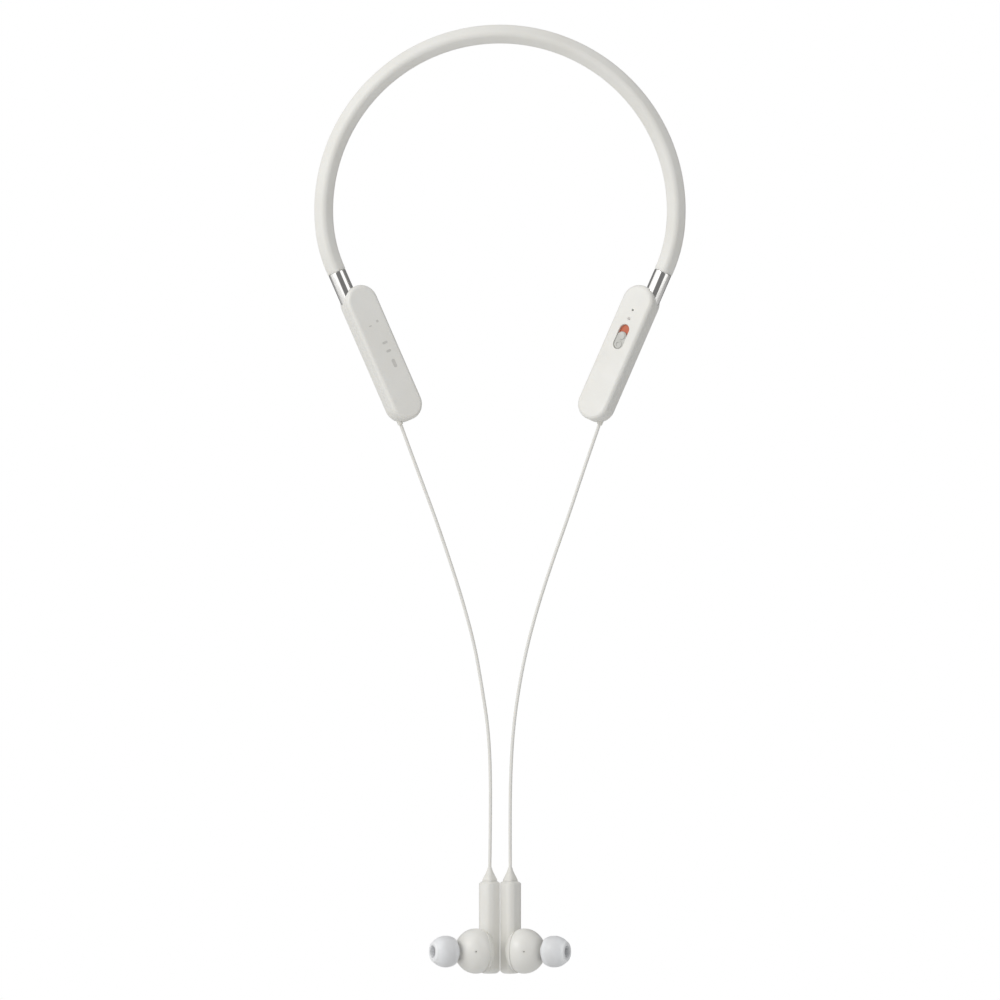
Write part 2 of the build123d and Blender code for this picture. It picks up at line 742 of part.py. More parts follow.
seat_radius = driver_radius + driver_gap
seam_edge = ball_radius * sqrt(1 - (ball_seam / ball_back) ** 2)
rim_edge = ball_radius * sqrt(1 - (ball_seam / 2 / ball_back) ** 2)
root_radius = nozzle_radius + nozzle_root
root_place = ball_front * sqrt(1 - (root_radius / ball_radius) ** 2)
root_slope = ball_front / ball_radius * root_radius / sqrt(ball_radius**2 - root_radius**2)
with BuildPart() as bud_front:
    with BuildSketch(bud_section):
        with BuildLine():
            ThreePointArc((seam_edge, ball_seam), (rim_edge, ball_seam / 2), (ball_radius, 0))
            Spline(
                (ball_radius, 0),
                (ball_shoulder_radius, ball_shoulder_place),
                (root_radius, root_place),
                tangents=[(0, 1), (-1, root_slope)],
            )
            Polyline((root_radius, root_place), (0, root_place), (0, ball_seam), (seam_edge, ball_seam))
        make_face()
        Rectangle(nozzle_radius, nozzle_end, align=corner)
        Rectangle(ball_radius, 2 * ball_back, align=(Align.MAX, Align.CENTER), mode=Mode.SUBTRACT)
        with BuildLine():
            Polyline(
                (0, ball_seam),
                (seat_radius, ball_seam),
                (seat_radius, driver_seat),
                (throat_radius, driver_seat),
                (throat_radius, throat_bend),
                (nozzle_bore, throat_end),
                (nozzle_bore, nozzle_end - mesh_depth),
                (mesh_radius + seat_gap, nozzle_end - mesh_depth),
                (mesh_radius + seat_gap, nozzle_end),
                (0, nozzle_end),
                close=True,
            )
        make_face(mode=Mode.SUBTRACT)
    revolve(axis=nozzle_axis)
    vent_plane = Plane(origin=ball_centre, x_dir=(1, 0, 0), z_dir=skinward)
    with BuildSketch(vent_plane.offset(throat_radius / 2)):
        Circle(vent_radius)
    extrude(amount=ball_radius, mode=Mode.SUBTRACT)
    with BuildSketch(vent_plane.offset(vent_recess_place)):
        Circle(vent_recess_radius)
    extrude(amount=ball_radius, mode=Mode.SUBTRACT)
finish_pair(bud_front, "bud_front")

driver_back = driver_seat - driver_thickness
with BuildPart() as driver_frame:
    with BuildSketch(bud_plane(driver_back)):
        Circle(driver_radius)
        Circle(surround_radius, mode=Mode.SUBTRACT)
    extrude(amount=driver_thickness)
    with BuildSketch(bud_plane(driver_back)):
        Circle(driver_radius)
        Circle(driver_magnet_radius, mode=Mode.SUBTRACT)
    extrude(amount=driver_web)
finish_pair(driver_frame, "driver_frame")

with BuildPart() as driver_magnet:
    with BuildSketch(bud_plane(driver_back + driver_web - driver_magnet_length)):
        Circle(driver_magnet_radius - seat_gap)
    extrude(amount=driver_magnet_length)
finish_pair(driver_magnet, "driver_magnet")

with BuildPart() as diaphragm:
    with BuildSketch(bud_section):
        with BuildLine():
            Polyline(
                (0, driver_seat + diaphragm_rise - diaphragm_wall),
                (surround_radius - lip_gap, driver_seat - 2 * diaphragm_wall),
                (surround_radius - lip_gap, driver_seat - diaphragm_wall),
            )
            ThreePointArc(
                (surround_radius - lip_gap, driver_seat - diaphragm_wall),
                (diaphragm_crest, driver_seat + diaphragm_crest_rise),
                (diaphragm_flat, driver_seat + diaphragm_rise),
            )
            Polyline(
                (diaphragm_flat, driver_seat + diaphragm_rise),
                (0, driver_seat + diaphragm_rise),
                (0, driver_seat + diaphragm_rise - diaphragm_wall),
            )
        make_face()
    revolve(axis=nozzle_axis)
finish_pair(diaphragm, "driver_diaphragm")

with BuildPart() as nozzle_mesh:
    with BuildSketch(bud_plane(nozzle_end - mesh_depth)):
        Circle(mesh_radius)
    extrude(amount=mesh_thickness)
finish_pair(nozzle_mesh, "nozzle_mesh")

# ---------------------------------------------------------------- ear tips

tube_radius = nozzle_radius + tip_gap
with BuildPart() as ear_tip:
    with BuildSketch(bud_section):
        with BuildLine():
            belly = ThreePointArc(
                (tip_rim_radius, tip_start),
                (tip_belly_radius, tip_belly_place),
                (tip_nose_radius + tip_wall, tip_end - tip_wall),
            )
            ThreePointArc(
                belly @ 1,
                (tip_nose_radius + tip_nose_round, tip_end - tip_nose_setback),
                (tip_nose_radius, tip_end),
            )
            Polyline(
                (tip_nose_radius, tip_end),
                (tube_radius, tip_end),
                (tube_radius, tip_tube_start),
                (tube_radius + tip_tube_wall, tip_tube_start),
                (tube_radius + tip_tube_wall, tip_end - tip_crotch),
            )
            inside = ThreePointArc(
                (tube_radius + tip_tube_wall, tip_end - tip_crotch),
                (tip_belly_radius - tip_wall, tip_belly_place),
                (tip_rim_radius - tip_rim_wall, tip_start),
            )
            Line(inside @ 1, belly @ 0)
        make_face()
    revolve(axis=nozzle_axis)
finish_pair(ear_tip, "ear_tip")
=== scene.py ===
import json
import math

import bmesh
import bpy
from mathutils import Matrix, Vector


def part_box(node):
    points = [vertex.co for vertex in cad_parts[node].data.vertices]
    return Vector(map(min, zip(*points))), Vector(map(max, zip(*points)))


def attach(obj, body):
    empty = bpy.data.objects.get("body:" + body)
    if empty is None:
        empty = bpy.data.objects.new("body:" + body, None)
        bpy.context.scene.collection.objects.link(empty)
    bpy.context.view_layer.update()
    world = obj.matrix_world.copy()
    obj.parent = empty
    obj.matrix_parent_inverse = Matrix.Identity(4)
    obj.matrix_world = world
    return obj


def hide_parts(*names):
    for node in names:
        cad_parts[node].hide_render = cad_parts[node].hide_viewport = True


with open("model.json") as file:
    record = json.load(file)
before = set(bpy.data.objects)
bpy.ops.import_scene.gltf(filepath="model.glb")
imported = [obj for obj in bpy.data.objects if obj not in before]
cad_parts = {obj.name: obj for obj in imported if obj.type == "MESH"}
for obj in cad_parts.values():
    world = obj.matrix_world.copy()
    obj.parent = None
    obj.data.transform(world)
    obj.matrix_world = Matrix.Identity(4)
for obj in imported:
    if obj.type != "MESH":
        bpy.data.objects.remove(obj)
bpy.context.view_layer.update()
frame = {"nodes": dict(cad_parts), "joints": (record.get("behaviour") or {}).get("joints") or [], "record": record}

# Neckband earphones, hanging from the crown of the neckband. Lengths are in metres, and mm turns a
# length in millimetres into metres. Places and directions come from the frame's joints and mounts.
# Every piece made here rides on the neckband; the pieces that move are the frame's own.

mm = 0.001
scene = bpy.context.scene
nodes = frame["nodes"]
joints = {joint["name"]: joint for joint in frame["joints"]}
mounts = {mount["name"]: mount for mount in frame["record"]["mounts"]}
sides = {"right": 1, "left": -1}

# ---------------------------------------------------------------- sizes

view_centre = -184.9 * mm  # height of the middle of the view
view_width = 405 * mm
camera_distance = 5.0
sensor_width = 36.0  # in millimetres, as Blender takes it
nearest_seen = 0.05
farthest_seen = 50

crown_drop = math.radians(5.0)  # the crown's arc goes on this far below its centre
crown_steps = 181
end_radius = 56.0 * mm  # of the bend between the crown and each ferrule
end_tilt = math.radians(23.5)  # lean of the ferrules
bend_steps = 24
sleeve_tail = 1.5 * mm  # straight piece after the bend
sleeve_side = 6.55 * mm
sleeve_corner = 2.0 * mm
sleeve_lip = [(0.0, 0.315), (0.084, 0.126), (0.245, 0.0)]  # way in from the end, step in, in mm

ferrule_radius = 3.65 * mm
ferrule_wall = 0.5 * mm
ferrule_shown = 8.2 * mm
ferrule_seat = 7.0 * mm  # hidden in the pod
ferrule_front_edge = 0.24 * mm
ferrule_back_edge = 0.15 * mm
ferrule_bore_edge = 0.1 * mm
ferrule_steps = 128

pod_half = 5.0 * mm
skin_mount_down = 10.0 * mm  # from the pod's centre to its skin-face mount

cord_diameter = 1.3 * mm
stem_across = 4.15 * mm  # from the middle to a stem's axis

boot_length = 5.2 * mm
boot_side = 5.3 * mm
boot_corner = 1.4 * mm
boot_round_from = 3.0  # height where the section has become round, in millimetres
boot_profile = [  # height over the stem's top and half width across the corners, in millimetres
    (-0.25, 3.0),
    (0.0, 3.05),
    (0.3, 2.95),
    (1.0, 2.6),
    (1.9, 2.15),
    (2.8, 1.68),
    (3.6, 1.3),
    (4.4, 1.03),
    (5.0, 0.89),
    (5.2, 0.80),
]

tip_end = 19.4 * mm  # from the ball's centre to the front of the ear tip

mark_thickness = 0.02 * mm
mark_roundness = 0.45  # corner radius over the mark's smaller side
skin_marks = [  # across towards the neck, down the pod, width, length, all in millimetres
    # the first, round mark is painted shade standing in for a small hole; the dashes are printed ink
    ("painted_hole_shade_dot", 2.1, -12.7, 1.1, 1.1),
    ("faint_dash", -1.7, -11.9, 1.3, 0.5),
    ("first_dash", 1.4, -3.5, 2.4, 1.0),
    ("second_dash", 1.5, 0.15, 2.2, 1.0),
    ("long_dash", 1.6, 5.6, 1.5, 3.6),
]

# ---------------------------------------------------------------- places


def side_point(point, sign):
    """A point of the right side, or its mirror image."""
    return Vector((sign * point.x, point.y, point.z))


pod_down = -Vector(joints["power_switch_slide"]["axis"])
pod_out = Vector(joints["play_press"]["axis"])
pod_in = pod_down.cross(pod_out)
skin_mount = Vector(mounts["right_pod_skin_face"]["pos_m"])
pod_centre = skin_mount - pod_out * pod_half - pod_down * skin_mount_down
nozzle_dir = Vector(joints["tip_right_pull"]["axis"])
ball_centre = Vector(mounts["right_ear_canal"]["pos_m"]) - nozzle_dir * tip_end
stem_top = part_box("bud_body_right")[1].z
boot_top = stem_top + boot_length


def pod_point(x, y, z):
    """A point of the right pod: x towards the neck, y down the pod, z out of the skin face."""
    return pod_centre + pod_in * x + pod_down * y + pod_out * z


# ---------------------------------------------------------------- camera and cords


def add_camera():
    """Look straight at the object from far in front, as the photograph does."""
    data = bpy.data.cameras.new("camera")
    data.sensor_width = sensor_width
    data.lens = sensor_width * camera_distance / view_width
    data.clip_start = nearest_seen
    data.clip_end = farthest_seen
    camera = bpy.data.objects.new("camera", data)
    camera.location = (0, -camera_distance, view_centre)
    camera.rotation_euler = (math.radians(90), 0, 0)
    scene.collection.objects.link(camera)
    scene.camera = camera


cord_routes = {  # between grommet and boot, in millimetres
    "right": [
        (33.9, 0.9, -172.6),
        (27.7, 1.4, -191.5),
        (21.2, 1.6, -209.8),
        (15.0, 1.5, -229.0),
        (10.4, 1.2, -246.5),
        (7.2, 0.8, -263.5),
        (5.2, 0.5, -279.5),
        (4.3, 0.2, -296.0),
        (4.05, 0.05, -315.0),
    ],
    "left": [
        (-33.6, 0.7, -172.4),
        (-26.9, 1.0, -190.2),
        (-20.8, 1.1, -208.0),
        (-14.9, 1.3, -226.4),
        (-10.1, 1.1, -244.6),
        (-7.3, 0.6, -261.0),
        (-4.9, 0.3, -276.4),
        (-3.9, 0.2, -292.5),
        (-3.85, 0.1, -314.0),
    ],
}
cord_exit = pod_point(-3.6 * mm, 29.45 * mm, -1.5 * mm)  # at the pod's lower end


def add_cord(side, sign):
    """A cord from its pod's grommet to its bud's boot, as one smooth spline."""
    start = side_point(cord_exit, sign)
    end = Vector((sign * stem_across, 0, boot_top))
    points = [start, *[Vector(point) * mm for point in cord_routes[side]], end]
    curve = bpy.data.curves.new(f"cord_{side}_line", "CURVE")
    curve.dimensions = "3D"
    spline = curve.splines.new("NURBS")
    spline.points.add(len(points) - 1)
    for control, point in zip(spline.points, points):
        control.co = (*point, 1)
        control.radius = cord_diameter / 2
    spline.order_u = 3
    spline.use_endpoint_u = True
    spline.resolution_u = 16
    curve.bevel_depth = 1.0  # times each point's radius
    curve.bevel_resolution = 6
    curve.use_fill_caps = True
    cord = bpy.data.objects.new(f"{side}_cord", curve)
    scene.collection.objects.link(cord)
    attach(cord, "neckband")
    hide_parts(f"cord_{side}")
    return cord


add_camera()
cords = [add_cord(side, sign) for side, sign in sides.items()]

# ---------------------------------------------------------------- materials


def math_node(tree, operation, first, second=0.0):
    """The result of a maths node; first and second are numbers or other nodes' outputs."""
    made = tree.nodes.new("ShaderNodeMath")
    made.operation = operation
    for socket, value in zip(made.inputs, (first, second)):
        if isinstance(value, (int, float)):
            socket.default_value = value
        else:
            tree.links.new(value, socket)
    return made.outputs[0]


def range_node(tree, value, lowest, highest, low, high, kind="LINEAR"):
    """The value, with lowest to highest spread over low to high."""
    spread = tree.nodes.new("ShaderNodeMapRange")
    spread.interpolation_type = kind
    spread.inputs["From Min"].default_value = lowest
    spread.inputs["From Max"].default_value = highest
    spread.inputs["To Min"].default_value = low
    spread.inputs["To Max"].default_value = high
    tree.links.new(value, spread.inputs["Value"])
    return spread.outputs["Result"]


noise_lowest = 0.3  # nearly all of a noise lies between these two
noise_highest = 0.7


class Look:
    """A procedural material: a Principled shader with noise for its colour, roughness and bump."""

    def __init__(self, name, color, roughness, **values):
        self.material = bpy.data.materials.new(name)
        self.material.use_nodes = True
        self.tree = self.material.node_tree
        self.shader = self.tree.nodes["Principled BSDF"]
        self.set("Base Color", (*color, 1))
        self.set("Roughness", roughness)
        for socket, value in values.items():
            self.set(socket.replace("_", " "), value)
        self.place = self.tree.nodes.new("ShaderNodeTexCoord").outputs["Object"]

    def set(self, socket, value):
        """Sets one of the shader's own sockets."""
        self.shader.inputs[socket].default_value = value

    def node(self, kind, **inputs):
        """A new node with those input values."""
        made = self.tree.nodes.new(kind)
        for socket, value in inputs.items():
            made.inputs[socket].default_value = value
        return made

    def join(self, output, target):
        """Links an output to an input."""
        self.tree.links.new(output, target)

    def math(self, operation, first, second=0.0):
        """The result of a maths node in this material."""
        return math_node(self.tree, operation, first, second)

    def noise(self, scale, detail=2.0, stretch=(1, 1, 1)):
        """Noise of about that many cells a metre, times the stretch along each axis."""
        texture = self.node("ShaderNodeTexNoise", Scale=scale, Detail=detail)
        if stretch == (1, 1, 1):
            self.join(self.place, texture.inputs["Vector"])
        else:
            mapping = self.node("ShaderNodeMapping", Scale=stretch)
            self.join(self.place, mapping.inputs["Vector"])
            self.join(mapping.outputs["Vector"], texture.inputs["Vector"])
        return texture.outputs["Fac"]

    def ranged(self, value, low, high):
        """A noise spread from low to high."""
        return range_node(self.tree, value, noise_lowest, noise_highest, low, high)

    def axes(self):
        """The place in the shared frame, as X, Y and Z outputs."""
        parts = self.tree.nodes.new("ShaderNodeSeparateXYZ")
        self.join(self.place, parts.inputs[0])
        return parts.outputs

    def blend(self, other, share):
        """Mixes the base colour with another one, by that share."""
        mix = self.tree.nodes.new("ShaderNodeMix")
        mix.data_type = "RGBA"
        colors = [socket for socket in mix.inputs if socket.type == "RGBA"]
        colors[0].default_value = self.shader.inputs["Base Color"].default_value
        colors[1].default_value = (*other, 1)
        self.join(share, mix.inputs["Factor"])
        result = [socket for socket in mix.outputs if socket.type == "RGBA"][0]
        self.join(result, self.shader.inputs["Base Color"])
        return self

    def mottle(self, other, scale, detail=3.0):
        """Drifts the base colour towards another one."""
        return self.blend(other, self.ranged(self.noise(scale, detail), 0, 1))

    def weave(self, pitch, gap):
        """Darkens the gaps of a woven mesh, twice that many a metre along Y and along Z."""
        place = self.axes()
        waves = []
        for axis in ("Y", "Z"):
            turn = self.math("MULTIPLY", place[axis], 2 * math.pi * pitch)
            waves.append(self.math("ABSOLUTE", self.math("SINE", turn)))
        return self.blend(gap, self.math("MULTIPLY", *waves))

    def paint_tip_light_and_shade(self, shades):
        """Paints light and shade into an ear tip's colour along its axis: lighter where the silicone is thin, at
        the rim and the nose, as if light shone through it, and darker where it is thick over its core.
        """
        place = self.axes()
        across = self.math("ABSOLUTE", place["X"])
        along = self.math("MULTIPLY", self.math("SUBTRACT", across, ball_centre.x), nozzle_dir.x)
        ahead = self.math("SUBTRACT", place["Y"], ball_centre.y)
        forward = self.math("MULTIPLY", ahead, nozzle_dir.y)
        distance = self.math("DIVIDE", self.math("ADD", along, forward), tip_end)
        ramp = self.tree.nodes.new("ShaderNodeValToRGB")
        stops = ramp.color_ramp.elements
        while len(stops) < len(shades):
            stops.new(0.5)
        for stop, (position, color) in zip(stops, shades):
            stop.position = position * mm / tip_end
            stop.color = (*color, 1)
        drift = self.ranged(self.noise(tip_drift_scale), -tip_drift, tip_drift)
        self.join(self.math("ADD", distance, drift), ramp.inputs["Fac"])
        self.join(ramp.outputs["Color"], self.shader.inputs["Base Color"])
        return self

    def smudge(self, low, high, scale, detail=3.0, stretch=(1, 1, 1)):
        """Varies the roughness, as handling does."""
        rough = self.ranged(self.noise(scale, detail, stretch), low, high)
        self.join(rough, self.shader.inputs["Roughness"])
        return self

    def grain(self, height, scale, detail=2.0, stretch=(1, 1, 1)):
        """Raises a fine relief of that height in metres."""
        bump = self.node("ShaderNodeBump", Strength=1.0, Distance=height)
        self.join(self.noise(scale, detail, stretch), bump.inputs["Height"])
        self.join(bump.outputs["Normal"], self.shader.inputs["Normal"])
        return self


ivory = (0.815, 0.808, 0.775)
warm_ivory = (0.785, 0.775, 0.735)
soft_light = {  # light that spreads a little under the surface
    "Subsurface_Weight": 0.12,
    "Subsurface_Radius": (1.0, 0.9, 0.75),
    "Subsurface_Scale": 0.6 * mm,
}
tip_light = {
    "Subsurface_Weight": 0.3,
    "Subsurface_Radius": (1.0, 1.0, 1.0),
    "Subsurface_Scale": 0.8 * mm,
}
sheen = {"Sheen_Weight": 0.12, "Sheen_Roughness": 0.4}
thin_coat = {"Coat_Weight": 0.12, "Coat_Roughness": 0.2}
port_stretch = (1, 1, 6)  # noise six times finer along Z, for the port's drawn shell

tip_drift = 0.03  # how far the painted light and shade wander, over the tip's reach from the ball's centre
tip_drift_scale = 160
tip_core_painted_shade = (0.73, 0.735, 0.745)
tip_thin_painted_light = (0.81, 0.82, 0.835)
tip_nose_painted_light = (0.86, 0.87, 0.88)
tip_painted_light_and_shade = [  # distance from the ball's centre in millimetres, and colour: painted light where the silicone is thin, painted shade over the core
    (9.4, tip_thin_painted_light),
    (10.9, tip_thin_painted_light),
    (12.4, tip_core_painted_shade),
    (15.0, tip_core_painted_shade),
    (17.6, tip_thin_painted_light),
    (18.8, tip_nose_painted_light),
]


def make_looks():
    """One look for each material slot of the record."""
    looks = {
        "sleeve_silicone": Look("ivory_silicone", ivory, 0.55, **soft_light, **sheen)
        .mottle(warm_ivory, 60)
        .smudge(0.48, 0.62, 220)
        .grain(0.005 * mm, 5200),
        "shell_plastic": Look("ivory_satin_plastic", ivory, 0.42, **soft_light)
        .mottle(warm_ivory, 45)
        .smudge(0.36, 0.48, 160)
        .grain(0.005 * mm, 4200, 3.0),
        "key_plastic": Look("ivory_key_plastic", ivory, 0.38, **soft_light)
        .mottle(warm_ivory, 80)
        .smudge(0.32, 0.44, 260)
        .grain(0.006 * mm, 5200),
        "bud_plastic": Look("ivory_bud_plastic", ivory, 0.34, **soft_light, **thin_coat)
        .mottle(warm_ivory, 70)
        .smudge(0.30, 0.42, 240)
        .grain(0.006 * mm, 4600),
        "boot_rubber": Look("ivory_rubber", (0.79, 0.78, 0.74), 0.6, **soft_light)
        .mottle((0.74, 0.73, 0.685), 200)
        .grain(0.004 * mm, 5200),
        "cord_jacket": Look("ivory_cord_jacket", (0.80, 0.79, 0.755), 0.5, **soft_light)
        .mottle((0.775, 0.765, 0.73), 90)
        .smudge(0.46, 0.54, 120)
        .grain(0.001 * mm, 700),
        # the ear tip's base colour is replaced by painted light and shade along its axis
        "tip_silicone": Look("clear_white_silicone", tip_core_painted_shade, 0.34, **tip_light)
        .paint_tip_light_and_shade(tip_painted_light_and_shade)
        .smudge(0.30, 0.40, 300)
        .grain(0.004 * mm, 4200),
        "ferrule_steel": Look("polished_steel", (0.93, 0.92, 0.90), 0.08, Metallic=1.0)
        .smudge(0.06, 0.11, 500, 4.0)
        .grain(0.0003 * mm, 3000),
        "spring_wire": Look("memory_wire", (0.55, 0.55, 0.56), 0.35, Metallic=1.0)
        .smudge(0.28, 0.42, 900)
        .grain(0.004 * mm, 7000),
        "cable_jacket": Look("inner_cable_jacket", (0.62, 0.62, 0.60), 0.55)
        .mottle((0.55, 0.55, 0.53), 500)
        .grain(0.006 * mm, 6000),
        "inner_plastic": Look("grey_inner_plastic", (0.16, 0.16, 0.165), 0.5)
        .mottle((0.12, 0.12, 0.125), 300)
        .grain(0.008 * mm, 5000),
        "circuit_board": Look("green_solder_mask", (0.012, 0.13, 0.05), 0.3, Coat_Weight=0.3)
        .mottle((0.02, 0.19, 0.08), 900, 0.0)
        .grain(0.010 * mm, 2500),
        "chip_resin": Look("black_moulding_resin", (0.018, 0.018, 0.02), 0.45)
        .mottle((0.03, 0.03, 0.033), 900)
        .grain(0.006 * mm, 6500),
        "ceramic": Look("fired_ceramic", (0.66, 0.62, 0.50), 0.4)
        .mottle((0.58, 0.54, 0.43), 700)
        .grain(0.005 * mm, 6000),
        "switch_metal": Look("stamped_metal", (0.68, 0.67, 0.64), 0.3, Metallic=1.0)
        .smudge(0.24, 0.4, 900)
        .grain(0.004 * mm, 6000),
        "port_steel": Look("stamped_steel", (0.62, 0.62, 0.63), 0.26, Metallic=1.0)
        .smudge(0.2, 0.36, 700, 3.0, port_stretch)
        .grain(0.003 * mm, 5000, 2.0, port_stretch),
        "battery_foil": Look("pouch_foil", (0.70, 0.71, 0.73), 0.32, Metallic=1.0)
        .smudge(0.26, 0.42, 260)
        .grain(0.05 * mm, 420, 3.0),
        "red_mark": Look("red_orange_print", (0.54, 0.11, 0.045), 0.45)
        .mottle((0.60, 0.15, 0.06), 700)
        .grain(0.004 * mm, 6000),
        "knob_plastic": Look("grey_knob_plastic", (0.56, 0.56, 0.53), 0.36)
        .mottle((0.52, 0.52, 0.49), 500)
        .smudge(0.30, 0.42, 500)
        .grain(0.005 * mm, 5200),
        "lamp": Look("lamp_resin", (0.85, 0.72, 0.35), 0.25)
        .mottle((0.80, 0.64, 0.28), 1500)
        .grain(0.003 * mm, 6000),
        "light_pipe_acrylic": Look("smoky_acrylic", (0.33, 0.31, 0.30), 0.16, Coat_Weight=0.5)
        .mottle((0.40, 0.37, 0.35), 1500)
        .grain(0.003 * mm, 5000),
        "plated_magnet": Look("nickel_plating", (0.62, 0.61, 0.59), 0.28, Metallic=1.0)
        .smudge(0.2, 0.36, 700)
        .grain(0.004 * mm, 5000),
        "diaphragm_film": Look("diaphragm_film", (0.10, 0.095, 0.085), 0.3, Coat_Weight=0.3)
        .mottle((0.14, 0.13, 0.11), 900)
        .grain(0.01 * mm, 2600),
        "mesh_steel": Look("dark_woven_steel", (0.22, 0.22, 0.225), 0.36, Metallic=0.9)
        .weave(2600, (0.02, 0.02, 0.022))
        .smudge(0.3, 0.45, 900)
        .grain(0.003 * mm, 7000),
    }
    return {slot: look.material for slot, look in looks.items()}


looks = make_looks()
for subpart in frame["record"]["subparts"]:
    nodes[subpart["node"]].material_slots[0].material = looks[subpart["material_slot"]]
for cord in cords:
    cord.data.materials.append(looks["cord_jacket"])

# ---------------------------------------------------------------- mesh helpers

sharpest_smooth = math.radians(40)  # edges over this angle stay sharp
longest_reach = 0.49  # part of a side that a corner's arc may take


def add_piece(mesh, name, material):
    """Link a finished mesh, give it its material, and let it ride on the neckband."""
    piece = bpy.data.objects.new(name, mesh)
    scene.collection.objects.link(piece)
    mesh.materials.append(material)
    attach(piece, "neckband")
    return piece


def stand_in(mesh, name, slot, node):
    """Add a piece with a slot's look in the place of a CAD node."""
    piece = add_piece(mesh, name, looks[slot])
    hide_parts(node)


def skin(bm, rings, looped=False):
    """Faces from each ring of points to the next: back to the first one, or capped at the ends."""
    following_rings = rings[1:] + rings[:1] if looped else rings[1:]
    for ring, following in zip(rings, following_rings):
        for i in range(len(ring)):
            j = (i + 1) % len(ring)
            bm.faces.new((ring[i], ring[j], following[j], following[i]))
    if not looped:
        bm.faces.new(rings[0])
        bm.faces.new(rings[-1])


def finish_mesh(bm, name):
    """Turn a bmesh into a smooth mesh that keeps its sharp edges."""
    bmesh.ops.recalc_face_normals(bm, faces=bm.faces)
    mesh = bpy.data.meshes.new(name)
    bm.to_mesh(mesh)
    bm.free()
    mesh.shade_smooth()
    mesh.set_sharp_from_angle(angle=sharpest_smooth)
    return mesh


def rounded(corners, segments=6):
    """The closed outline through (x, y, radius) corners, each rounded to its radius."""
    outline = []
    for i, (x, y, radius) in enumerate(corners):
        here = Vector((x, y))
        before = Vector(corners[i - 1][:2]) - here
        after = Vector(corners[(i + 1) % len(corners)][:2]) - here
        half = before.angle(after) / 2
        shorter = min(before.length, after.length)
        reach = min(radius / math.tan(half), longest_reach * shorter)
        middle = (before.normalized() + after.normalized()).normalized()
        centre = here + middle * (reach / math.cos(half))
        first = here + before.normalized() * reach - centre
        last = here + after.normalized() * reach - centre
        for step in range(segments + 1):
            arm = first.lerp(last, step / segments)
            outline.append(centre + arm.normalized() * first.length)
    return outline


def rounded_rectangle(width, height, corner, segments=6):
    """A rectangle's outline round the origin, with rounded corners."""
    quarters = ((1, 1), (-1, 1), (-1, -1), (1, -1))
    return rounded([(x * width / 2, y * height / 2, corner) for x, y in quarters], segments)


def square_on_corner(side, corner, segments):
    """A rounded square's outline, turned to stand on its corner."""
    turned = Matrix.Rotation(math.radians(45), 2)
    return [turned @ spot for spot in rounded_rectangle(side, side, corner, segments)]


def lathe(name, outline, origin, axis, steps):
    """A solid of revolution from a closed outline of (radius, distance along the axis)."""
    axis = axis.normalized()
    across = axis.orthogonal().normalized()
    other = axis.cross(across)
    bm = bmesh.new()
    rings = []
    for radius, along in outline:
        ring = []
        for step in range(steps):
            turn = 2 * math.pi * step / steps
            arm = across * math.cos(turn) + other * math.sin(turn)
            ring.append(bm.verts.new(origin + axis * along + arm * radius))
        rings.append(ring)
    skin(bm, rings, looped=True)
    return finish_mesh(bm, name)


# ---------------------------------------------------------------- neckband sleeve and ferrules

sleeve_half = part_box("band_sleeve")[1].z / 2
neck_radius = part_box("band_sleeve")[1].x - sleeve_half
crown_centre = Vector((0, 0, sleeve_half - neck_radius))
bend_shift = neck_radius - end_radius
bend_centre = crown_centre + Vector((math.cos(crown_drop), 0, -math.sin(crown_drop))) * bend_shift
band_down = Vector((-math.sin(end_tilt), 0, -math.cos(end_tilt)))
bend_end = bend_centre + Vector((math.cos(end_tilt), 0, -math.sin(end_tilt))) * end_radius
sleeve_end = bend_end + band_down * sleeve_tail


def arc(centre, radius, start, end, count):
    """Points round an arc in the XZ plane and the directions away from its centre."""
    stations = []
    for step in range(count):
        turn = start + (end - start) * step / (count - 1)
        out = Vector((math.cos(turn), 0, math.sin(turn)))
        stations.append((centre + out * radius, out))
    return stations


def band_stations():
    """The sleeve's centre line from the right end to the left one, with outward directions."""
    crown = arc(crown_centre, neck_radius, -crown_drop, math.pi + crown_drop, crown_steps)
    bend = arc(bend_centre, end_radius, -end_tilt, -crown_drop, bend_steps)
    half = [(sleeve_end, bend[0][1]), *bend[:-1]]
    other = [(side_point(point, -1), side_point(out, -1)) for point, out in reversed(half)]
    return [*half, *crown, *other]


def lip_stations(end, following):
    """Stations of an end's rounded lip, each with the step in of its section."""
    place, out = end
    inward = (following[0] - place).normalized()
    return [(place + inward * (along * mm), out, inset * mm) for along, inset in sleeve_lip]


def add_sleeve():
    """The silicone sleeve: a soft square section that stands on its corner."""
    section = square_on_corner(sleeve_side, sleeve_corner, segments=10)
    stations = band_stations()
    right_lip = lip_stations(stations[0], stations[1])
    left_lip = lip_stations(stations[-1], stations[-2])
    between = [(point, out, 0) for point, out in stations[1:-1]]
    bm = bmesh.new()
    rings = []
    for point, out, inset in [*right_lip, *between, *reversed(left_lip)]:
        scale = 1 - 2 * inset / sleeve_side
        ring = [
            bm.verts.new(point + out * (spot.x * scale) + Vector((0, spot.y * scale, 0)))
            for spot in section
        ]
        rings.append(ring)
    skin(bm, rings)
    stand_in(finish_mesh(bm, "sleeve"), "sleeve", "sleeve_silicone", "band_sleeve")


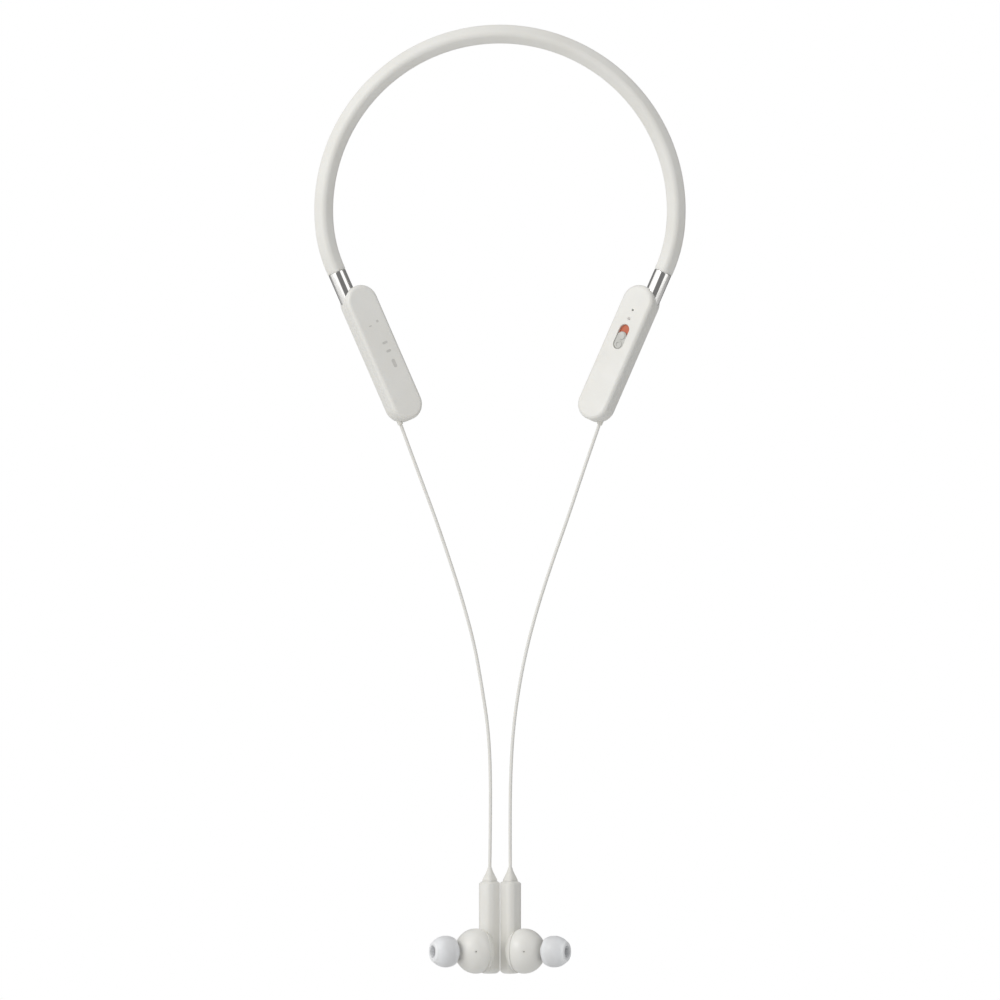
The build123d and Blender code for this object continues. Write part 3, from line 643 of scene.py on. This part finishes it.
def add_ferrule(side, sign):
    """A polished steel tube with rolled edges, half hidden in the pod."""
    name = f"ferrule_tube_{side}"
    inner = ferrule_radius - ferrule_wall
    length = ferrule_shown + ferrule_seat
    outline = rounded(
        [
            (inner, 0, ferrule_bore_edge),
            (ferrule_radius, 0, ferrule_front_edge),
            (ferrule_radius, length, ferrule_back_edge),
            (inner, length, ferrule_bore_edge),
        ]
    )
    start = side_point(sleeve_end, sign)
    down = side_point(band_down, sign)
    mesh = lathe(name, outline, start, down, ferrule_steps)
    stand_in(mesh, name, "ferrule_steel", f"ferrule_{side}")


add_sleeve()
for side, sign in sides.items():
    add_ferrule(side, sign)

# ---------------------------------------------------------------- boots


def add_boot(side, sign):
    """A soft strain relief that blends the stem's rounded square into the round cord."""
    outline = square_on_corner(boot_side, boot_corner, segments=8)
    widest = max(spot.length for spot in outline)
    bm = bmesh.new()
    rings = []
    for height, reach in boot_profile:
        squareness = max(0.0, 1 - max(height, 0) / boot_round_from)
        ring = []
        for spot in outline:
            shaped = spot / widest
            point = shaped.normalized().lerp(shaped, squareness) * reach * mm
            place = (sign * stem_across + point.x, point.y, stem_top + height * mm)
            ring.append(bm.verts.new(place))
        rings.append(ring)
    skin(bm, rings)
    name = f"boot_{side}"
    stand_in(finish_mesh(bm, name), name, "boot_rubber", f"cord_boot_{side}")


for side, sign in sides.items():
    add_boot(side, sign)

# ---------------------------------------------------------------- plain printed dashes, and a round mark of painted shade for a small hole

# one grey for the printed dashes and for the round mark of painted hole shade
mark_look = Look("grey_print_and_hole_shade", (0.58, 0.573, 0.545), 0.5)
mark_look.mottle((0.63, 0.622, 0.59), 900)
mark_look.grain(0.004 * mm, 6000)


def add_skin_mark(name, across, down, width, length):
    """A thin plain mark on the left pod's skin face: printed ink for the dashes, painted shade of a small hole for
    the round one.
    """
    outline = rounded_rectangle(width, length, mark_roundness * min(width, length))
    bm = bmesh.new()
    rings = []
    for level in (pod_half, pod_half + mark_thickness):
        ring = []
        for spot in outline:
            point = pod_point((across + spot.x) * mm, (down + spot.y) * mm, level)
            ring.append(bm.verts.new(side_point(point, -1)))
        rings.append(ring)
    skin(bm, rings)
    add_piece(finish_mesh(bm, f"print_{name}"), f"print_{name}", mark_look.material)


for mark in skin_marks:
    add_skin_mark(*mark)

# ---------------------------------------------------------------- light, floor and world

key_place = Vector((-1.3, -1.2, 0.75))
key_size = 0.9
key_power = 7.6
key_color = (1.0, 0.99, 0.97)

bright_side = Vector((-0.75, -0.49, 0.44))
world_middle = 0.605  # the studio's light, halfway between its bright and dim sides
world_slope = 0.395  # how much brighter and dimmer those two are
glossy_white = 1.15  # what polished steel reflects
strip_light = 0.16  # the part of that left in the dark strips
dark_strips = [(-141, 38), (9, 28), (128, 50)]  # middle and half width, degrees
strip_blur = 3  # degrees

floor_radius = 3.0
floor_height = -0.75
floor_color = (0.80, 0.80, 0.795)
floor_fade = (0.4, 0.98)  # parts of the radius between which it fades out


def add_key_light():
    """One large soft light from the upper left, in front."""
    data = bpy.data.lights.new("key", "AREA")
    data.shape = "DISK"
    data.size = key_size
    data.energy = key_power
    data.color = key_color
    light = bpy.data.objects.new("key", data)
    light.location = key_place
    light.rotation_mode = "QUATERNION"
    aim = Vector((0, 0, view_centre)) - key_place
    light.rotation_quaternion = aim.to_track_quat("-Z", "Y")
    scene.collection.objects.link(light)


def add_world():
    """A soft studio: brighter towards the key, white behind, with dark strips for the steel."""
    world = bpy.data.worlds.new("studio")
    world.use_nodes = True
    scene.world = world
    tree = world.node_tree
    tree.nodes.clear()

    place = tree.nodes.new("ShaderNodeTexCoord").outputs["Generated"]
    facing = tree.nodes.new("ShaderNodeVectorMath")
    facing.operation = "DOT_PRODUCT"
    tree.links.new(place, facing.inputs[0])
    facing.inputs[1].default_value = bright_side.normalized()
    soft = math_node(tree, "MULTIPLY", facing.outputs["Value"], world_slope)
    soft = math_node(tree, "ADD", soft, world_middle)

    parts = tree.nodes.new("ShaderNodeSeparateXYZ")
    tree.links.new(place, parts.inputs[0])
    front = math_node(tree, "MULTIPLY", parts.outputs["Y"], -1.0)
    azimuth = math_node(tree, "ARCTAN2", parts.outputs["X"], front)
    glossy = glossy_white
    for middle, half in dark_strips:
        off = math_node(tree, "SUBTRACT", azimuth, math.radians(middle))
        off = math_node(tree, "ABSOLUTE", off)
        inner = math.radians(half - strip_blur)
        outer = math.radians(half + strip_blur)
        share = range_node(tree, off, inner, outer, strip_light, 1.0, "SMOOTHSTEP")
        glossy = math_node(tree, "MULTIPLY", share, glossy)

    path = tree.nodes.new("ShaderNodeLightPath")
    strength = tree.nodes.new("ShaderNodeMix")
    tree.links.new(path.outputs["Is Glossy Ray"], strength.inputs["Factor"])
    tree.links.new(soft, strength.inputs["A"])
    tree.links.new(glossy, strength.inputs["B"])
    seen = tree.nodes.new("ShaderNodeMix")
    tree.links.new(path.outputs["Is Camera Ray"], seen.inputs["Factor"])
    tree.links.new(strength.outputs["Result"], seen.inputs["A"])
    seen.inputs["B"].default_value = 1.0
    background = tree.nodes.new("ShaderNodeBackground")
    background.inputs["Color"].default_value = (1, 1, 1, 1)
    tree.links.new(seen.outputs["Result"], background.inputs["Strength"])
    output = tree.nodes.new("ShaderNodeOutputWorld")
    tree.links.new(background.outputs[0], output.inputs["Surface"])


def add_floor():
    """A plain pale floor, far below the hanging object, that fades into the backdrop."""
    bm = bmesh.new()
    bmesh.ops.create_circle(bm, cap_ends=True, segments=96, radius=floor_radius)
    mesh = bpy.data.meshes.new("floor")
    bm.to_mesh(mesh)
    bm.free()
    floor = bpy.data.objects.new("floor", mesh)
    floor.location = (0, 0, floor_height)
    scene.collection.objects.link(floor)
    material = bpy.data.materials.new("pale_floor")
    material.use_nodes = True
    tree = material.node_tree
    shader = tree.nodes["Principled BSDF"]
    shader.inputs["Base Color"].default_value = (*floor_color, 1)
    shader.inputs["Roughness"].default_value = 0.8
    place = tree.nodes.new("ShaderNodeTexCoord").outputs["Object"]
    length = tree.nodes.new("ShaderNodeVectorMath")
    length.operation = "LENGTH"
    tree.links.new(place, length.inputs[0])
    near, far = (share * floor_radius for share in floor_fade)
    fade = range_node(tree, length.outputs["Value"], near, far, 1.0, 0.0)
    tree.links.new(fade, shader.inputs["Alpha"])
    mesh.materials.append(material)


add_world()
add_floor()
add_key_light()
scene.view_settings.view_transform = "Standard"

# ---------------------------------------------------------------- hand over

bpy.context.view_layer.update()
